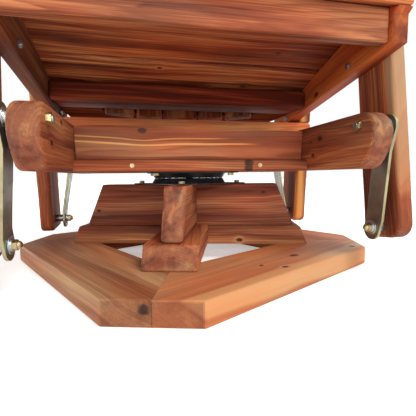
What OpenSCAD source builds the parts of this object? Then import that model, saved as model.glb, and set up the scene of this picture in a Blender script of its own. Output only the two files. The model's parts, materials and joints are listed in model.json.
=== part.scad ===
// Adirondack swivel glider in cedar: a fan-backed chair hung on four steel straps
// from a low swing frame, which turns on a ball-bearing swivel over a boarded base.
// Millimetres, +Z up. The origin is on the swivel axis at floor level.
// The sitter faces -Y. "right" is the +X side, "left" is the -X side.

/* [Base] */
// Outer side of the square ring that lies on the floor
ring_side = 610; // [560:5:700]
// Width of a ring board
ring_w = 140; // [115:1:150]
// Thickness of a ring board
ring_t = 35; // [25:1:45]
// Length of the flat that is sawn across each ring corner
corner_flat = 130; // [90:1:150]
// How far the base is turned below the chair at rest, in degrees
base_turn = -16.2; // [-45:0.1:45]
// Length of the lower cross beams along their underside
cross_l = 510; // [490:1:560]
// Width of the lower cross beams, laid flat
cross_w = 89; // [70:1:110]
// Thickness of the lower cross beams
cross_t = 38; // [30:1:45]
// Slope of the ends of the lower cross beams, in degrees
cross_slope = 21.5; // [5:0.5:30]
// Length of the pedestal boards along their lower edge
ped_l = 460; // [420:1:490]
// Clearance of the rear legs above the ring
leg_clear = 19.1; // [15:0.1:30]
// Thickness of the pedestal boards
ped_t = 38; // [30:1:45]
// Slope of the ends of the pedestal boards, in degrees
ped_slope = 22.4; // [5:0.1:30]

/* [Swivel] */
// Side of the two square swivel plates
plate_side = 178; // [160:1:190]
// Thickness of the pressed steel
plate_t = 2.5; // [1.5:0.1:3]
// Height of the whole swivel
swivel_h = 26; // [24:0.5:34]
// Radius of a pressed pan where it leaves its plate
pan_r = 82; // [78:0.5:86]
// Radius of the pan rims that face each other
rim_r = 75.5; // [70:0.5:76]
// Gap between the two pan rims
rim_gap = 1.5; // [1:0.1:2]
// Diameter of a bearing ball
ball_d = 5; // [4.4:0.1:5.2]
// Number of bearing balls
balls = 24; // [12:1:36]
// Radius of the circle of ball centres
ball_circle_r = 72.5; // [60:0.5:72.5]
// Radius of the centre rivet
rivet_r = 6; // [4:0.5:9]
// Radius of the rivet's heads
rivet_head_r = 11; // [10:0.5:16]
// Distance of the lower lag screws from the swivel axis
lag_circle_r = 107.5; // [100:0.5:112]
// Distance of the upper lag screws from the middle of the plate, along each side
lag_off = 76; // [72:0.5:80]

/* [Swing frame] */
// Clear width between the two side beams
frame_inner = 444; // [400:1:450]
// Thickness of the side beams and rails
beam_t = 38; // [30:1:40]
// Height of the side beams
beam_h = 81; // [76:1:95]
// Distance from a top link bolt to the end of its side beam
beam_end = 32.3; // [28:0.1:45]
// Rise of the side beams above the rails between them
beam_rise = 4.5; // [0:0.5:6]
// Radius of the upper corner of a beam's nose
nose_top_r = 34; // [10:1:36]
// Setback of the curved cut under a beam's nose
nose_cut = 27; // [10:1:35]
// Height of the curved cut under a beam's nose
nose_cut_h = 46; // [20:1:50]
// Width of the two flat boards over the swivel
flat_w = 89; // [80:1:100]
// Thickness of the two flat boards
flat_t = 22; // [18:1:26]
// Distance between the two flat boards
flat_gap = 72; // [60:1:80]
// Setback of a rail on edge from the outer edge of its flat board
rail_set = 22; // [10:1:25]

/* [Links] */
// Distance between the two bolt holes of a link
link_l = 175; // [170:0.5:181]
// Width of a link strap
link_w = 38; // [30:1:40]
// Length of a link strap beyond its lower bolt hole, on top of its rounding
link_tail = 3.5; // [0:0.5:4]
// Thickness of a link strap
link_t = 5; // [3:0.5:5]
// Length of the straight part below the upper bolt hole, before the strap bends
link_straight = 35; // [25:1:45]
// Length of the straight part above the lower bolt hole
link_straight_low = 18; // [14:1:30]
// Lean of the front links at rest, foot to the rear, in degrees
front_lean = 17; // [14:0.5:18]
// Lean of the rear links at rest, foot to the rear, in degrees
rear_lean = -2; // [-3:0.5:1]
// Distance of the front top bolts in front of the swivel axis
top_front = 282; // [278:1:286]
// Distance of the rear top bolts behind the swivel axis
top_rear = 146; // [142:1:150]
// Height of the top bolts above the underside of the side beams
top_up = 65; // [50:0.5:65]
// Diameter of the link bolts
bolt_d = 9.5; // [8:0.1:10]
// Length of the spacers between the side beams and the links
top_spacer = 9.7; // [8:0.1:11]
// Length of the spacers between the links and the legs
foot_spacer = 16.7; // [14:0.1:18]
// Outward joggle of a link strap between its two ends
joggle = 21; // [16:0.5:26]
// Side play of a link between its spacer and its bolt head
side_play = 0.3; // [0.2:0.05:0.5]
// Radial running clearance of a link on its bolt
run_clear = 0.08; // [0.02:0.01:0.1]
// Radial clearance at the rear lower bolts, which takes up the closed linkage
open_clear = 1.15; // [1.05:0.05:1.5]

/* [Chair frame] */
// Thickness of the legs and stringers
leg_t = 28.6; // [25:0.1:32]
// Width of a leg
leg_w = 89; // [80:1:95]
// Lean of the front legs to the rear, in degrees
front_leg_lean = 7.1; // [5:0.1:8]
// Lean of the rear legs to the front, in degrees
rear_leg_lean = 4.7; // [3:0.1:6]
// Distance of a front leg's middle line behind its link bolt
front_leg_off = 3.3; // [0:0.1:10]
// Distance of a rear leg's middle line behind its link bolt
rear_leg_off = 1.5; // [0:0.1:5]
// Length of a front leg below its link bolt
front_toe = 19.8; // [16:0.1:30]
// Length of a rear leg below its link bolt
rear_toe = 25; // [16:0.1:34]
// Radius of the lower corners of the front legs
front_toe_r = 28; // [10:1:30]
// Radius of the lower corners of the rear legs
rear_toe_r = 16; // [5:1:25]
// Distance of the stringers' front end in front of the swivel axis
string_front = 270; // [262:1:275]
// Distance of the stringers' rear end behind the swivel axis
string_rear = 185; // [175:1:200]
// Drop of the stringers' lower edge below the seat brace, over the swivel axis
string_drop = 1.4; // [0:0.1:5]
// Slope of the stringers' lower edge, rising to the front, in degrees
string_slope = 10; // [8:0.1:10]
// Width of the seat brace that lies flat between the stringers
brace_w = 89; // [80:1:95]
// Thickness of the seat brace and the back rails
brace_t = 38; // [30:1:40]
// Height of the underside of the seat brace above the side beams
seat_up = 70; // [66:1:76]
// Clearance of the rear stretcher above the side beams
stretch_clear = 12.9; // [6:0.1:13]
// Height of the rear stretcher
stretch_h = 38; // [30:1:40]
// Thickness of the rear stretcher
stretch_t = 28.6; // [20:0.1:30]

/* [Seat] */
// Thickness of the seat and back slats
slat_t = 22; // [18:0.5:24]
// Width of the three main seat slats
seat_slat_w = 89; // [80:1:92]
// Width of the narrow front slat
front_slat_w = 38; // [30:1:45]
// Gap between seat slats
seat_gap = 7; // [5:0.5:9]
// Distance of the rear slat's front edge behind the brace's front edge
rear_slat_in = 42; // [36:1:46]
// Tilt of the third main slat, front up, in degrees
tilt_a = 18.5; // [15:0.5:20]
// Tilt of the second main slat, front up, in degrees
tilt_b = 16.5; // [13:0.5:18]
// Tilt of the first main slat, front up, in degrees
tilt_c = 8; // [4:0.5:11]
// Tilt of the narrow front slat, front down, in degrees
tilt_d = 16; // [5:0.5:20]
// Height of the front apron
apron_h = 54; // [30:1:56]

/* [Back] */
// Recline of the back, in degrees
recline = 19; // [17:0.5:22]
// Radius of the scoop that the slats' faces follow
scoop_r = 600; // [550:10:1200]
// Height of the back over the underside of the seat brace, along its recline
back_l = 740; // [680:1:800]
// Radius of the arched top of the back
arch_r = 460; // [420:5:600]
// Gap between back slats
back_gap = 5; // [3:0.5:6]
// Width of the middle slat with its gap
mid_w = 89; // [84:0.5:92]
// Width at the foot of the next pair of slats with their gap
foot_b = 66.5; // [60:0.5:70]
// Width at the foot of the third pair of slats with their gap
foot_c = 73; // [66:0.5:75]
// Width at the foot of the outer pair of slats with their gap
foot_d = 53; // [45:0.5:55]
// Width of the other slats at the top with their gap
top_w = 89; // [80:0.5:92]
// Depth of the lower back rail
low_rail_w = 140; // [105:1:160]
// Depth of the arm rail from its front corner to its rear edge
arm_rail_w = 140; // [130:1:150]
// Distance of the upper brace's lower edge below the top of the back, along its recline
high_brace_down = 197; // [150:1:240]
// Height of the upper brace
high_brace_h = 64; // [50:1:89]
// Depth of the upper brace behind the slats
high_brace_t = 38; // [25:1:40]
// Distance of the upper brace's ends from the outer edges of the fan's top
high_brace_in = 30; // [20:1:60]
// Distance from the middle slat to the arm rail's rear edge
arm_rail_back = 44; // [35:1:60]

/* [Arms] */
// Height of the underside of the arms above the underside of the seat brace
arm_up = 307; // [290:1:325]
// Thickness of the arms
arm_t = 25; // [20:1:32]
// Width of an arm
arm_w = 127; // [125:1:150]
// Distance of the arms' front end in front of the swivel axis
arm_front = 265; // [255:1:290]
// Gap between the outer back slats and the arms
arm_gap = 6.5; // [4:0.5:12]
// Radius of the front corners of an arm
arm_r = 45; // [20:1:60]
// Radius of the rear corners of an arm
arm_rear_r = 10; // [3:1:20]
// Width by which the arm narrows at its rear
arm_taper = 40; // [10:1:50]
// Distance of the arm screws from the middle lines of the legs
arm_screw_off = 22; // [10:1:30]
// Reach of an arm corbel from the leg
corbel_out = 50; // [35:1:55]
// Height of an arm corbel
corbel_h = 120; // [80:1:150]

/* [Fasteners] */
// Width across the flats of the link bolts and nuts
bolt_flats = 14.3; // [13:0.1:16]
// Height of the link bolts' heads
bolt_head = 6.5; // [5:0.1:7]
// Length of an acorn nut
acorn_l = 12; // [11:0.5:14]
// Radius of a washer
washer_r = 11; // [10:0.5:13]
// Thickness of a washer
washer_t = 2; // [1:0.1:2.5]
// Radius of the wide washers that lie against the links
wide_washer_r = 13; // [12:0.5:15]
// Height of the hex nuts on the upper link bolts
top_nut = 7; // [6:0.5:8]
// Diameter of the lag screws and the leg bolts
lag_d = 6.3; // [5:0.1:7]
// Height of the lag screws' heads
lag_head = 5; // [4:0.1:5.5]
// Width across the flats of the lag screws and leg nuts
lag_flats = 11.1; // [10:0.1:13]
// Length of the lag screws below the head
lag_l = 32; // [28:1:38]
// Diameter of a deck screw's head
deck_head = 8; // [6:0.1:9]
// Diameter of a deck screw's shank
deck_d = 4; // [3:0.1:4.5]
// Length of a deck screw
deck_l = 18; // [12:1:18]
// Radial clearance of fixed screws and bolts in their holes
fix_clear = 0.05; // [0.02:0.01:0.1]

/* [Hidden] */
$fn = 64;
far = 2000;
// Colours: heartwood, darker heartwood, sapwood-streaked, zinc, brass, black steel
heart = [0.55, 0.27, 0.15];
heart_dark = [0.42, 0.19, 0.11];
sap = [0.72, 0.46, 0.26];
zinc = [0.62, 0.66, 0.68];
brass = [0.75, 0.62, 0.3];
steel_black = [0.08, 0.08, 0.09];

// Base heights
ring_half = ring_side / 2;
corner_cut = corner_flat / sqrt(2);
cross_top = ring_t + cross_t;
// The pedestal lifts the links so far that the rear legs clear the ring
ped_h = link_l * cos(rear_lean) + rear_toe + leg_clear - top_up - swivel_h - cross_t;
ped_top = cross_top + ped_h;
cross_inset = cross_t * tan(cross_slope);
ped_inset = ped_h * tan(ped_slope);

// Swivel heights
frame_z = ped_top + swivel_h;
ball_z = ped_top + swivel_h / 2;
rim_z = ball_z - rim_gap / 2;
ball_clear = 0.1;
rivet_head_t = 2;
rivet_play = 0.3;
rim_in = plate_t * 1.2;

// Swing frame
beam_x = frame_inner / 2;
beam_out = beam_x + beam_t;
beam_top = frame_z + beam_h;
top_z = frame_z + top_up;
flat_y = flat_gap / 2;
flat_top = frame_z + flat_t;
arris = 6;
rail_r = 1.5;

// Links and lower bolts
link_x = beam_out + top_spacer + side_play;
foot_y_f = -top_front + link_l * sin(front_lean);
foot_z_f = top_z - link_l * cos(front_lean);
foot_y_r = top_rear + link_l * sin(rear_lean);
foot_z_r = top_z - link_l * cos(rear_lean);
foot_x = link_x + joggle;
leg_x = foot_x + link_t + side_play + foot_spacer;
leg_out = leg_x + leg_t;
nut_bore = 9;

// Stringers, brace and seat chain
string_x = leg_x - leg_t;
brace_y = 0;
brace_z = beam_top + seat_up;
string_low = brace_z - string_drop;
brace_top = brace_z + brace_t;
brace_rear = brace_y + brace_w;
slat_x = leg_x - 1;
seat_w = [seat_slat_w, seat_slat_w, seat_slat_w, front_slat_w];
seat_tilt = [tilt_a, tilt_b, tilt_c, -tilt_d];
// Underside corner where slat k starts at its rear, slat 0 being the first in front of the rear slat
function gap_tilt(k) = k == 0 ? seat_tilt[0] / 2 : (seat_tilt[k - 1] + seat_tilt[k]) / 2;
function seat_start(k) = k == 0
    ? [brace_y + rear_slat_in - seat_gap * cos(gap_tilt(0)), brace_top + seat_gap * sin(gap_tilt(0))]
    : seat_end(k - 1) + seat_gap * [-cos(gap_tilt(k)), sin(gap_tilt(k))];
function seat_end(k) = seat_start(k) + seat_w[k] * [-cos(seat_tilt[k]), sin(seat_tilt[k])];
function string_bottom(y) = string_low - y * tan(string_slope);

// Fan of the back: boundaries between slats at the foot and at the top
foot_edge = [mid_w / 2, mid_w / 2 + foot_b, mid_w / 2 + foot_b + foot_c,
    mid_w / 2 + foot_b + foot_c + foot_d];
top_edge = [mid_w / 2, mid_w / 2 + top_w, mid_w / 2 + 2 * top_w, mid_w / 2 + 3 * top_w];
function foot_mid(i) = i == 0 ? 0 : (foot_edge[i - 1] + foot_edge[i]) / 2;
function top_mid(i) = i == 0 ? 0 : (top_edge[i - 1] + top_edge[i]) / 2;
function foot_width(i) = i == 0 ? mid_w : foot_edge[i] - foot_edge[i - 1];
function top_width(i) = i == 0 ? mid_w : top_edge[i] - top_edge[i - 1];
function yaw(i) = asin(foot_mid(i) / scoop_r);
// Depth of the scooped faces at the distance x from the middle
function scoop(x) = scoop_r - sqrt(scoop_r * scoop_r - x * x);
back_clear = 0.3;
face_v = scoop(foot_edge[2]) + back_clear;
back_foot = -3;
high_brace_w0 = back_l - high_brace_down;
arm_z = brace_z + arm_up;
arm_rail_z = arm_z - brace_t;
// Reach from the middle of the rear outer corner of the fan, at the distance w along the recline
function fan_out(w) = foot_mid(3) + slat_t * sin(yaw(3)) + (top_mid(3) - foot_mid(3)) * w / back_l
    + (foot_width(3) + (top_width(3) - foot_width(3)) * w / back_l - back_gap) / 2 * cos(yaw(3));
arm_in = fan_out((arm_up + arm_t) / cos(recline)) + arm_gap;
arm_out = arm_in + arm_w;
// Depth of the slats' rear faces behind the brace, in the middle, at the arm rail's top
arm_rail_rear = brace_rear + (arm_z - brace_z) * tan(recline) + (face_v + slat_t) / cos(recline)
    + arm_rail_back;
arm_rear = arm_rail_rear;

function arc(c, r, a0, a1, n = 10) = [for (k = [0:n]) c + r * [cos(a0 + (a1 - a0) * k / n),
    sin(a0 + (a1 - a0) * k / n)]];

// A profile drawn in y and z, from x0 to x1
module yz(x0, x1) {
    translate([x0, 0, 0]) rotate([90, 0, 90]) linear_extrude(x1 - x0) children();
}
// A profile drawn in x and z, from y0 to y1
module xz(y0, y1) {
    translate([0, y1, 0]) rotate([90, 0, 0]) linear_extrude(y1 - y0) children();
}
module flip(s) {
    mirror([s < 0 ? 1 : 0, 0, 0]) children();
}
module both() {
    for (s = [-1, 1]) flip(s) children();
}
// A round bar along +X
module bar_x(x0, x1, y, z, r) {
    translate([x0, y, z]) rotate([0, 90, 0]) cylinder(h = x1 - x0, r = r);
}
// A hexagonal bar along +X, turned so that a flat is on top
module hex_x(x0, x1, y, z, flats) {
    translate([x0, y, z]) rotate([0, 90, 0]) cylinder(h = x1 - x0, r = flats / sqrt(3), $fn = 6);
}

// Base
module ring_board(k) {
    h = ring_half;
    c = corner_cut;
    w = ring_w;
    rotate([0, 0, base_turn + 45 + 90 * k]) linear_extrude(ring_t) polygon([
        [-(h - c), -h], [h - c, -h], [h - c / 2, -h + c / 2],
        [h - w, -h + w], [-(h - w), -h + w], [-(h - c / 2), -h + c / 2]]);
}
module ring_front_right() {
    color(sap) ring_board(0);
}
module ring_rear_right() {
    color(heart) ring_board(1);
}
module ring_rear_left() {
    color(heart_dark) ring_board(2);
}
module ring_front_left() {
    color(heart_dark) ring_board(3);
}
module cross_beam(low) {
    half = cross_l / 2;
    difference() {
        translate([0, 0, ring_t]) yz(-cross_w / 2, cross_w / 2) polygon([
            [-half, 0], [half, 0], [half - cross_inset, cross_t], [-half + cross_inset, cross_t]]);
        translate([-far / 2, -cross_w / 2, low ? ring_t + cross_t / 2 : ring_t - cross_t / 2])
            cube([far, cross_w, cross_t]);
    }
}
module cross_front_rear() {
    color(heart) rotate([0, 0, base_turn]) cross_beam(false);
}
module cross_side() {
    color(heart_dark) rotate([0, 0, base_turn + 90]) cross_beam(true);
}
module pedestal_board(low) {
    half = ped_l / 2;
    difference() {
        translate([0, 0, cross_top]) yz(-ped_t / 2, ped_t / 2) polygon([
            [-half, 0], [half, 0], [half - ped_inset, ped_h], [-half + ped_inset, ped_h]]);
        translate([-far / 2, -ped_t / 2, low ? cross_top + ped_h / 2 : cross_top - ped_h / 2])
            cube([far, ped_t, ped_h]);
        for (s = [-1, 1]) translate([0, s * lag_circle_r, ped_top - lag_l])
            cylinder(h = far, r = lag_d / 2 + fix_clear);
    }
}
module pedestal_front_rear() {
    color(heart) rotate([0, 0, base_turn]) pedestal_board(false);
}
module pedestal_side() {
    color(sap) rotate([0, 0, base_turn + 90]) pedestal_board(true);
}

// Swivel
module pan() {
    rotate_extrude() polygon([
        [rivet_r + fix_clear, rim_z - plate_t], [rim_r - rim_in, rim_z - plate_t],
        [pan_r - rim_in, ped_top], [pan_r, ped_top], [pan_r, ped_top + plate_t],
        [rim_r, rim_z], [rivet_r + fix_clear, rim_z]]);
}
module ball_groove() {
    translate([0, 0, ball_z]) rotate_extrude() translate([ball_circle_r, 0])
        circle(r = ball_d / 2 + ball_clear, $fn = 32);
}
module plate_and_pan() {
    difference() {
        union() {
            difference() {
                translate([-plate_side / 2, -plate_side / 2, ped_top])
                    cube([plate_side, plate_side, plate_t]);
                translate([0, 0, ped_top - plate_t]) cylinder(h = 3 * plate_t, r = pan_r - rim_in);
            }
            pan();
        }
        ball_groove();
    }
}
module lower_holes() {
    for (a = [0:90:270]) rotate([0, 0, a]) translate([0, lag_circle_r, ped_top - plate_t])
        cylinder(h = 3 * plate_t, r = lag_d / 2 + fix_clear);
}
module upper_holes() {
    for (a = [0:90:270]) rotate([0, 0, a]) translate([lag_off, lag_off, ped_top - plate_t])
        cylinder(h = 3 * plate_t, r = lag_d / 2 + fix_clear);
}
module swivel_lower_plate() {
    color(steel_black) rotate([0, 0, base_turn]) difference() {
        rotate([0, 0, 45]) plate_and_pan();
        lower_holes();
    }
}
module swivel_upper_plate() {
    color(steel_black) translate([0, 0, 2 * ball_z]) mirror([0, 0, 1]) difference() {
        plate_and_pan();
        upper_holes();
    }
}
module swivel_balls() {
    color(zinc) for (k = [0:balls - 1]) rotate([0, 0, 360 * k / balls])
        translate([ball_circle_r, 0, ball_z]) sphere(d = ball_d, $fn = 32);
}
module swivel_rivet() {
    low = rim_z - plate_t;
    high = 2 * ball_z - low;
    color(steel_black) union() {
        translate([0, 0, low - rivet_head_t]) cylinder(h = rivet_head_t, r = rivet_head_r);
        translate([0, 0, low - rivet_head_t])
            cylinder(h = high - low + rivet_head_t + rivet_play, r = rivet_r);
        translate([0, 0, high + rivet_play]) cylinder(h = rivet_head_t, r = rivet_head_r);
    }
}
module lag_screw() {
    cylinder(h = lag_head, r = lag_flats / sqrt(3), $fn = 6);
    translate([0, 0, -lag_l]) cylinder(h = lag_l, r = lag_d / 2);
}
module swivel_lower_lags() {
    color(brass) for (a = [0:90:270]) rotate([0, 0, base_turn + a])
        translate([0, lag_circle_r, ped_top + plate_t]) lag_screw();
}
module swivel_upper_lags() {
    color(brass) for (a = [0:90:270]) rotate([0, 0, a])
        translate([lag_off, lag_off, frame_z - plate_t]) mirror([0, 0, 1]) lag_screw();
}
module upper_lag_holes() {
    for (a = [0:90:270]) rotate([0, 0, a]) translate([lag_off, lag_off, frame_z - lag_l])
        cylinder(h = 2 * lag_l, r = lag_d / 2 + fix_clear);
}

// Swing frame
module side_beam() {
    y0 = -top_front - beam_end;
    y1 = top_rear + beam_end;
    z1 = beam_top + beam_rise;
    step = 0.125;
    difference() {
        yz(beam_x, beam_out) polygon(concat(
            arc([y0 + nose_top_r, z1 - nose_top_r], nose_top_r, 90, 180),
            [for (t = [0:step:1]) [y0 + nose_cut * pow(t, 1.6), frame_z + nose_cut_h * (1 - t)]],
            [for (t = [1:-step:0]) [y1 - nose_cut * pow(t, 1.6), frame_z + nose_cut_h * (1 - t)]],
            arc([y1 - nose_top_r, z1 - nose_top_r], nose_top_r, 0, 90)));
        for (y = [-top_front, top_rear])
            bar_x(beam_x - 1, beam_out + 1, y, top_z, bolt_d / 2 + fix_clear);
    }
}
module side_beam_right() {
    color(heart_dark) side_beam();
}
module side_beam_left() {
    color(heart) flip(-1) side_beam();
}
module flat_board() {
    difference() {
        yz(-beam_x, beam_x) polygon(concat(
            [[-flat_y, frame_z], [-flat_y, flat_top]],
            arc([-flat_y - flat_w + arris, flat_top - arris], arris, 90, 180, 5),
            arc([-flat_y - flat_w + arris, frame_z + arris], arris, 180, 270, 5)));
        upper_lag_holes();
        edge_screws(fix_clear);
    }
}
module front_flat_board() {
    color(heart) flat_board();
}
module rear_flat_board() {
    color(heart) mirror([0, 1, 0]) flat_board();
}
module edge_rail() {
    y0 = -flat_y - flat_w + rail_set;
    difference() {
        xz(y0, y0 + beam_t) polygon(concat(
            [[-beam_x, flat_top], [beam_x, flat_top]],
            arc([beam_x - rail_r, beam_top - rail_r], rail_r, 0, 90, 5),
            arc([-beam_x + rail_r, beam_top - rail_r], rail_r, 90, 180, 5)));
        upper_lag_holes();
    }
}
module front_rail() {
    color(heart) edge_rail();
}
module rear_rail() {
    color(heart_dark) mirror([0, 1, 0]) edge_rail();
}
// Two screws in the outer edge of the front flat board, grown by c for their holes
edge_screw_x = 122;
module edge_screws(c) {
    for (s = [-1, 1]) translate([s * edge_screw_x, -flat_y - flat_w, frame_z + flat_t / 2])
        rotate([-90, 0, 0]) {
            cylinder(h = washer_t + c, r = deck_head / 2 + c);
            cylinder(h = lag_l + c, r = deck_d / 2 + c);
        }
}
module frame_screws() {
    color(brass) {
        edge_screws(0);
        mirror([0, 1, 0]) edge_screws(0);
    }
}

// Links
module link(open) {
    r = link_w / 2;
    tail = link_l + link_tail;
    difference() {
        intersection() {
            yz(-link_t, joggle + 2 * link_t) union() {
                circle(r = r);
                translate([0, -tail]) circle(r = r);
                translate([-r, -tail]) square([link_w, tail]);
            }
            xz(-link_w, link_w) polygon([
                [0, r], [link_t, r], [link_t, -link_straight],
                [joggle + link_t, -link_l + link_straight_low], [joggle + link_t, -tail - r],
                [joggle, -tail - r], [joggle, -link_l + link_straight_low], [0, -link_straight]]);
        }
        bar_x(-1, link_t + 1, 0, 0, bolt_d / 2 + run_clear);
        bar_x(joggle - 1, joggle + link_t + 1, 0, -link_l, bolt_d / 2 + (open ? open_clear : run_clear));
    }
}
module link_at(y, lean, open) {
    translate([link_x, y, top_z]) rotate([lean, 0, 0]) link(open);
}
module link_front_right() {
    color(zinc) link_at(-top_front, front_lean, false);
}
module link_front_left() {
    color(zinc) flip(-1) link_at(-top_front, front_lean, false);
}
module link_rear_right() {
    color(zinc) link_at(top_rear, rear_lean, true);
}
module link_rear_left() {
    color(zinc) flip(-1) link_at(top_rear, rear_lean, true);
}
module spacer(x0, x1, y, z) {
    difference() {
        bar_x(x0, x1, y, z, washer_r - 2);
        bar_x(x0 - 1, x1 + 1, y, z, bolt_d / 2 + fix_clear);
    }
}
// A washer of radius r whose inner face is at x
module washer(x, y, z, r) {
    difference() {
        bar_x(x, x + washer_t, y, z, r);
        bar_x(x - 1, x + washer_t + 1, y, z, bolt_d / 2 + fix_clear);
    }
}
// An acorn nut whose open face is at x, pointing to -X
module acorn(x, y, z) {
    difference() {
        union() {
            hex_x(x - acorn_l / 2, x, y, z, bolt_flats);
            intersection() {
                bar_x(x - acorn_l, x - acorn_l / 2, y, z, bolt_flats / 2 - 0.6);
                translate([x - acorn_l / 2, y, z]) sphere(r = acorn_l / 2, $fn = 48);
            }
        }
        bar_x(x - nut_bore, x + 1, y, z, bolt_d / 2 + fix_clear);
    }
}
nut_reach = nut_bore - 0.5;
top_bolts = [[-top_front, top_z], [top_rear, top_z]];
foot_bolts = [[foot_y_f, foot_z_f], [foot_y_r, foot_z_r]];
module link_bolts_top() {
    x1 = link_x + link_t + side_play;
    color(zinc) both() for (p = top_bolts) {
        bar_x(beam_x - top_nut - washer_t, x1 + 1, p[0], p[1], bolt_d / 2);
        hex_x(x1, x1 + bolt_head, p[0], p[1], bolt_flats);
    }
}
module link_spacers_top() {
    x = beam_out + top_spacer;
    color(zinc) both() for (p = top_bolts) {
        spacer(beam_out, x, p[0], p[1]);
        washer(x - washer_t, p[0], p[1], wide_washer_r);
    }
}
module link_nuts_top() {
    color(brass) both() for (p = top_bolts) difference() {
        hex_x(beam_x - top_nut, beam_x, p[0], p[1], bolt_flats);
        bar_x(beam_x - top_nut - 1, beam_x + 1, p[0], p[1], bolt_d / 2 + fix_clear);
    }
}
module link_bolts_foot() {
    x0 = foot_x - side_play - 2 * washer_t;
    color(zinc) both() for (p = foot_bolts) {
        bar_x(x0 - nut_reach, leg_out + 1, p[0], p[1], bolt_d / 2);
        hex_x(leg_out, leg_out + bolt_head, p[0], p[1], bolt_flats);
    }
}
module link_spacers_foot() {
    color(zinc) both() for (p = foot_bolts) spacer(leg_x - foot_spacer, leg_x, p[0], p[1]);
}
module link_nuts_foot() {
    x0 = foot_x - side_play;
    color(zinc) both() for (p = foot_bolts) {
        washer(x0 - washer_t, p[0], p[1], wide_washer_r);
        washer(x0 - 2 * washer_t, p[0], p[1], washer_r - 2);
        acorn(x0 - 2 * washer_t, p[0], p[1]);
    }
}

// Chair frame
module above(z) {
    translate([-far / 2, -far / 2, z]) cube([far, far, far]);
}
// A leg from its link bolt at y and z; housing holds the corners of a notch in its front edge
module leg(y, z, lean, off, toe, toe_r, housing) {
    half = leg_w / 2;
    difference() {
        translate([0, y, z]) rotate([lean, 0, 0]) yz(leg_x, leg_out) polygon(concat(
            arc([off - half + toe_r, -toe + toe_r], toe_r, 180, 270, 6),
            arc([off + half - toe_r, -toe + toe_r], toe_r, 270, 360, 6),
            [[off + half, far / 2], [off - half, far / 2]], housing));
        above(arm_z);
        bar_x(leg_x - 1, leg_out + 1, y, z, bolt_d / 2 + fix_clear);
        leg_bolt_bores();
    }
}
module front_leg() {
    leg(foot_y_f, foot_z_f, -front_leg_lean, front_leg_off, front_toe, front_toe_r, []);
}
// The rear stretcher is let in flush with the front edges of the rear legs
stretch_w = (beam_top + stretch_clear - foot_z_r) / cos(rear_leg_lean);
module rear_leg() {
    v = rear_leg_off - leg_w / 2;
    leg(foot_y_r, foot_z_r, rear_leg_lean, rear_leg_off, rear_toe, rear_toe_r, [
        [v, stretch_w + stretch_h], [v + stretch_t, stretch_w + stretch_h],
        [v + stretch_t, stretch_w], [v, stretch_w]]);
}
module front_leg_right() {
    color(sap) front_leg();
}
module front_leg_left() {
    color(heart) flip(-1) front_leg();
}
module rear_leg_right() {
    color(sap) rear_leg();
}
module rear_leg_left() {
    color(heart) flip(-1) rear_leg();
}
// Middle line of the legs at height z
function front_leg_y(z) = foot_y_f + front_leg_off / cos(front_leg_lean)
    + (z - foot_z_f) * tan(front_leg_lean);
function rear_leg_y(z) = foot_y_r + rear_leg_off / cos(rear_leg_lean)
    - (z - foot_z_r) * tan(rear_leg_lean);
// Bolts through leg and stringer: distance from the leg's middle line and above the stringer's edge
leg_bolt_spread = 30;
leg_bolt_up = 17;
leg_bolt_high = 50;
leg_bolt_rise = 20;
leg_bolt_low = 10;
bolt_yf = front_leg_y(string_bottom(front_leg_y(brace_z)));
bolt_yr = rear_leg_y(brace_z);
leg_bolts_at = [
    [bolt_yf + leg_bolt_spread, string_bottom(bolt_yf + leg_bolt_spread) + leg_bolt_up],
    [bolt_yf - leg_bolt_spread / 2, string_bottom(bolt_yf - leg_bolt_spread / 2) + leg_bolt_high],
    [bolt_yr - leg_bolt_rise, string_bottom(bolt_yr - leg_bolt_rise) + leg_bolt_low],
    [bolt_yr + leg_bolt_rise, string_bottom(bolt_yr + leg_bolt_rise) + leg_bolt_low]];
module leg_bolt_bores() {
    for (p = leg_bolts_at) bar_x(string_x - 1, leg_out + 1, p[0], p[1], lag_d / 2 + fix_clear);
}
module leg_bolts() {
    nut_t = lag_head;
    color(zinc) both() for (p = leg_bolts_at) {
        bar_x(string_x - nut_t - 1, leg_out + 1, p[0], p[1], lag_d / 2);
        intersection() {
            translate([leg_out - washer_r / 2, p[0], p[1]]) sphere(r = lag_flats / 1.2, $fn = 48);
            bar_x(leg_out, leg_out + lag_flats, p[0], p[1], lag_flats);
        }
        difference() {
            hex_x(string_x - nut_t, string_x, p[0], p[1], lag_flats);
            bar_x(string_x - nut_t - 1, string_x + 1, p[0], p[1], lag_d / 2 + fix_clear);
        }
    }
}
nose_drop = 8;
string_tail = 44;
string_tail_y = 50;
module stringer() {
    difference() {
        yz(string_x, leg_x) polygon([
            [-string_front, string_bottom(-string_front)],
            [string_rear, string_bottom(string_rear)],
            [string_rear, string_bottom(string_rear) + string_tail],
            [string_rear - string_tail_y, brace_top],
            [brace_y + rear_slat_in, brace_top],
            seat_start(0), seat_end(0), seat_start(1), seat_end(1),
            seat_start(2), seat_end(2), seat_start(3), seat_end(3),
            [-string_front, seat_end(3)[1] - nose_drop]]);
        leg_bolt_bores();
    }
}
module stringer_right() {
    color(heart) stringer();
}
module stringer_left() {
    color(heart) flip(-1) stringer();
}
module seat_brace() {
    color(heart) translate([-string_x, brace_y, brace_z]) cube([2 * string_x, brace_w, brace_t]);
}
stretch_r = 9;
module rear_stretcher() {
    r = stretch_r;
    color(sap) translate([0, foot_y_r, foot_z_r]) rotate([rear_leg_lean, 0, 0])
        translate([0, rear_leg_off - leg_w / 2, stretch_w]) xz(0, stretch_t) polygon(concat(
            [[-leg_out, 0], [leg_out, 0]],
            arc([leg_out - r, stretch_h - r], r, 0, 90, 5),
            arc([-leg_out + r, stretch_h - r], r, 90, 180, 5)));
}

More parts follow.
